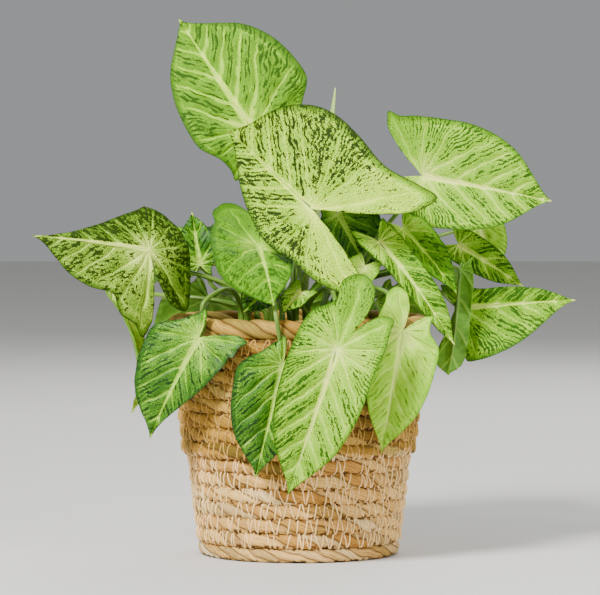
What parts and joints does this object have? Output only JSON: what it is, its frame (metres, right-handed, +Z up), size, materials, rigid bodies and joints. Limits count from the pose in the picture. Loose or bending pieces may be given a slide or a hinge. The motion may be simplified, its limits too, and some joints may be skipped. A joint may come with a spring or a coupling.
{
  "type": "potted syngonium",
  "caption": "Arrowhead houseplant with large variegated pale green leaves on thin stems, growing in a stitched coiled-rope basket planter with a whitewashed lower part",
  "frame": {"origin": "middle of the basket's flat underside, on the surface it stands on", "axes": "+Z up, -Y towards the side that is seen first, +X to the right of it"},
  "size_m": [0.3054, 0.2219, 0.3075],
  "materials": {
    "whitewashed_rope": "matt fibre",
    "straw_rope": "matt fibre",
    "dark_pot_plastic": "satin",
    "potting_soil": "crumbly matt",
    "crown_green": "waxy satin",
    "pale_leaf": "waxy satin",
    "mottled_leaf": "waxy satin",
    "plain_leaf": "waxy satin",
    "dark_leaf": "waxy satin"
  },
  "bodies": {
    "root": {"basket_lower": "whitewashed_rope", "basket_upper": "straw_rope", "nursery_pot": "dark_pot_plastic", "soil": "potting_soil", "crown_1": "crown_green", "crown_2": "crown_green", "crown_3": "crown_green", "crown_4": "crown_green", "crown_5": "crown_green", "crown_6": "crown_green", "leaf_top_left": "pale_leaf", "leaf_centre": "pale_leaf", "leaf_top_right": "pale_leaf", "leaf_front_pale": "pale_leaf", "leaf_middle": "pale_leaf", "leaf_right_folded": "pale_leaf", "leaf_right_narrow": "pale_leaf", "leaf_low_right": "pale_leaf", "leaf_right_far": "pale_leaf", "leaf_young_left": "pale_leaf", "leaf_back_high": "pale_leaf", "leaf_back_middle": "pale_leaf", "leaf_back_far_right": "pale_leaf", "leaf_back_low_right": "pale_leaf", "leaf_back_top": "pale_leaf", "leaf_side_left": "pale_leaf", "leaf_left": "mottled_leaf", "leaf_back_left": "mottled_leaf", "leaf_back_right": "mottled_leaf", "leaf_front_green": "plain_leaf", "leaf_right_hanging": "plain_leaf", "leaf_far_plain": "plain_leaf", "leaf_young_right": "plain_leaf", "leaf_hanging_left": "plain_leaf", "leaf_back_low_middle": "plain_leaf", "leaf_rolled": "plain_leaf", "leaf_low_left": "dark_leaf", "leaf_front_dark": "dark_leaf", "leaf_far_young": "dark_leaf", "leaf_young_far": "dark_leaf", "leaf_inner_dark": "dark_leaf", "leaf_back_low_left": "dark_leaf"}
  },
  "joints": []
}
